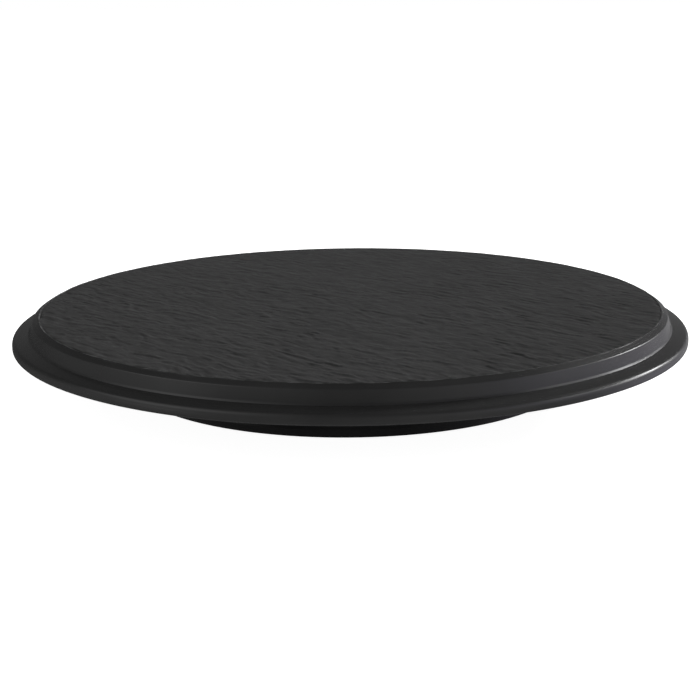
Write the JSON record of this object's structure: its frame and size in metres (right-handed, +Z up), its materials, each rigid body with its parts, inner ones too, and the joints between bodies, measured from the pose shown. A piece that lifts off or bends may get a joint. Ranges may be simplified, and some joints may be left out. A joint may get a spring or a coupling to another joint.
{
  "type": "revolving serving table",
  "caption": "Low round revolving serving table: a stepped plate with a slate-textured flat top and a thin brim, turning on a ball bearing over a smaller round base.",
  "frame": {"origin": "on the surface the feet stand on, on the turning axis", "axes": "+Z up along the turning axis; +Y away from the viewer of the picture; +X to the viewer's right"},
  "size_m": [0.38, 0.38, 0.0431],
  "materials": {
    "plate_melamine": "moulded charcoal-black melamine, satin, with a slate-textured top",
    "base_plastic": "smooth black",
    "disc_plastic": "plain moulded black",
    "foot_rubber": "matt",
    "race_steel": "zinc-plated pressed steel",
    "ball_steel": "polished",
    "screw_steel": "zinc plated",
    "spindle_steel": "turned",
    "insert_brass": "turned",
    "cage_nylon": "natural nylon"
  },
  "bodies": {
    "base": {"base_shell": "base_plastic", "lower_race": "race_steel", "lower_race_screws": "screw_steel", "pivot_bush": "cage_nylon", "foot_1": "foot_rubber", "foot_2": "foot_rubber", "foot_3": "foot_rubber", "foot_4": "foot_rubber", "foot_5": "foot_rubber", "foot_6": "foot_rubber"},
    "turntable": {"serving_plate": "plate_melamine", "plate_inserts": "insert_brass", "turning_disc": "disc_plastic", "disc_screws": "screw_steel", "upper_race": "race_steel", "upper_race_screws": "screw_steel", "spindle": "spindle_steel", "spindle_washer": "spindle_steel", "spindle_clip": "spindle_steel"},
    "cage": {"ball_cage": "cage_nylon"},
    "ball_01": {"ball_01": "ball_steel"},
    "ball_02": {"ball_02": "ball_steel"},
    "ball_03": {"ball_03": "ball_steel"},
    "ball_04": {"ball_04": "ball_steel"},
    "ball_05": {"ball_05": "ball_steel"},
    "ball_06": {"ball_06": "ball_steel"},
    "ball_07": {"ball_07": "ball_steel"},
    "ball_08": {"ball_08": "ball_steel"},
    "ball_09": {"ball_09": "ball_steel"},
    "ball_10": {"ball_10": "ball_steel"},
    "ball_11": {"ball_11": "ball_steel"},
    "ball_12": {"ball_12": "ball_steel"},
    "ball_13": {"ball_13": "ball_steel"},
    "ball_14": {"ball_14": "ball_steel"},
    "ball_15": {"ball_15": "ball_steel"},
    "ball_16": {"ball_16": "ball_steel"}
  },
  "joints": [
    {"name": "plate_spin", "type": "hinge", "parent": "base", "child": "turntable", "pos_m": [0, 0, 0.0253], "axis": [0, 0, 1], "continuous": true},
    {"name": "cage_spin", "type": "hinge", "parent": "base", "child": "cage", "pos_m": [0, 0, 0.0253], "axis": [0, 0, 1], "continuous": true},
    {"name": "ball_01_roll", "type": "hinge", "parent": "cage", "child": "ball_01", "pos_m": [0.096, 0, 0.0253], "axis": [1, 0, 0], "continuous": true},
    {"name": "ball_02_roll", "type": "hinge", "parent": "cage", "child": "ball_02", "pos_m": [0.08869, 0.03674, 0.0253], "axis": [0.9239, 0.3827, 0], "continuous": true},
    {"name": "ball_03_roll", "type": "hinge", "parent": "cage", "child": "ball_03", "pos_m": [0.06788, 0.06788, 0.0253], "axis": [0.7071, 0.7071, 0], "continuous": true},
    {"name": "ball_04_roll", "type": "hinge", "parent": "cage", "child": "ball_04", "pos_m": [0.03674, 0.08869, 0.0253], "axis": [0.3827, 0.9239, 0], "continuous": true},
    {"name": "ball_05_roll", "type": "hinge", "parent": "cage", "child": "ball_05", "pos_m": [0, 0.096, 0.0253], "axis": [0, 1, 0], "continuous": true},
    {"name": "ball_06_roll", "type": "hinge", "parent": "cage", "child": "ball_06", "pos_m": [-0.03674, 0.08869, 0.0253], "axis": [-0.3827, 0.9239, 0], "continuous": true},
    {"name": "ball_07_roll", "type": "hinge", "parent": "cage", "child": "ball_07", "pos_m": [-0.06788, 0.06788, 0.0253], "axis": [-0.7071, 0.7071, 0], "continuous": true},
    {"name": "ball_08_roll", "type": "hinge", "parent": "cage", "child": "ball_08", "pos_m": [-0.08869, 0.03674, 0.0253], "axis": [-0.9239, 0.3827, 0], "continuous": true},
    {"name": "ball_09_roll", "type": "hinge", "parent": "cage", "child": "ball_09", "pos_m": [-0.096, 0, 0.0253], "axis": [-1, 0, 0], "continuous": true},
    {"name": "ball_10_roll", "type": "hinge", "parent": "cage", "child": "ball_10", "pos_m": [-0.08869, -0.03674, 0.0253], "axis": [-0.9239, -0.3827, 0], "continuous": true},
    {"name": "ball_11_roll", "type": "hinge", "parent": "cage", "child": "ball_11", "pos_m": [-0.06788, -0.06788, 0.0253], "axis": [-0.7071, -0.7071, 0], "continuous": true},
    {"name": "ball_12_roll", "type": "hinge", "parent": "cage", "child": "ball_12", "pos_m": [-0.03674, -0.08869, 0.0253], "axis": [-0.3827, -0.9239, 0], "continuous": true},
    {"name": "ball_13_roll", "type": "hinge", "parent": "cage", "child": "ball_13", "pos_m": [0, -0.096, 0.0253], "axis": [0, -1, 0], "continuous": true},
    {"name": "ball_14_roll", "type": "hinge", "parent": "cage", "child": "ball_14", "pos_m": [0.03674, -0.08869, 0.0253], "axis": [0.3827, -0.9239, 0], "continuous": true},
    {"name": "ball_15_roll", "type": "hinge", "parent": "cage", "child": "ball_15", "pos_m": [0.06788, -0.06788, 0.0253], "axis": [0.7071, -0.7071, 0], "continuous": true},
    {"name": "ball_16_roll", "type": "hinge", "parent": "cage", "child": "ball_16", "pos_m": [0.08869, -0.03674, 0.0253], "axis": [0.9239, -0.3827, 0], "continuous": true}
  ],
  "couplings": [
    {"joint": "cage_spin", "follows": "plate_spin", "ratio": 0.5},
    {"joint": "ball_01_roll", "follows": "plate_spin", "ratio": -12},
    {"joint": "ball_02_roll", "follows": "plate_spin", "ratio": -12},
    {"joint": "ball_03_roll", "follows": "plate_spin", "ratio": -12},
    {"joint": "ball_04_roll", "follows": "plate_spin", "ratio": -12},
    {"joint": "ball_05_roll", "follows": "plate_spin", "ratio": -12},
    {"joint": "ball_06_roll", "follows": "plate_spin", "ratio": -12},
    {"joint": "ball_07_roll", "follows": "plate_spin", "ratio": -12},
    {"joint": "ball_08_roll", "follows": "plate_spin", "ratio": -12},
    {"joint": "ball_09_roll", "follows": "plate_spin", "ratio": -12},
    {"joint": "ball_10_roll", "follows": "plate_spin", "ratio": -12},
    {"joint": "ball_11_roll", "follows": "plate_spin", "ratio": -12},
    {"joint": "ball_12_roll", "follows": "plate_spin", "ratio": -12},
    {"joint": "ball_13_roll", "follows": "plate_spin", "ratio": -12},
    {"joint": "ball_14_roll", "follows": "plate_spin", "ratio": -12},
    {"joint": "ball_15_roll", "follows": "plate_spin", "ratio": -12},
    {"joint": "ball_16_roll", "follows": "plate_spin", "ratio": -12}
  ]
}
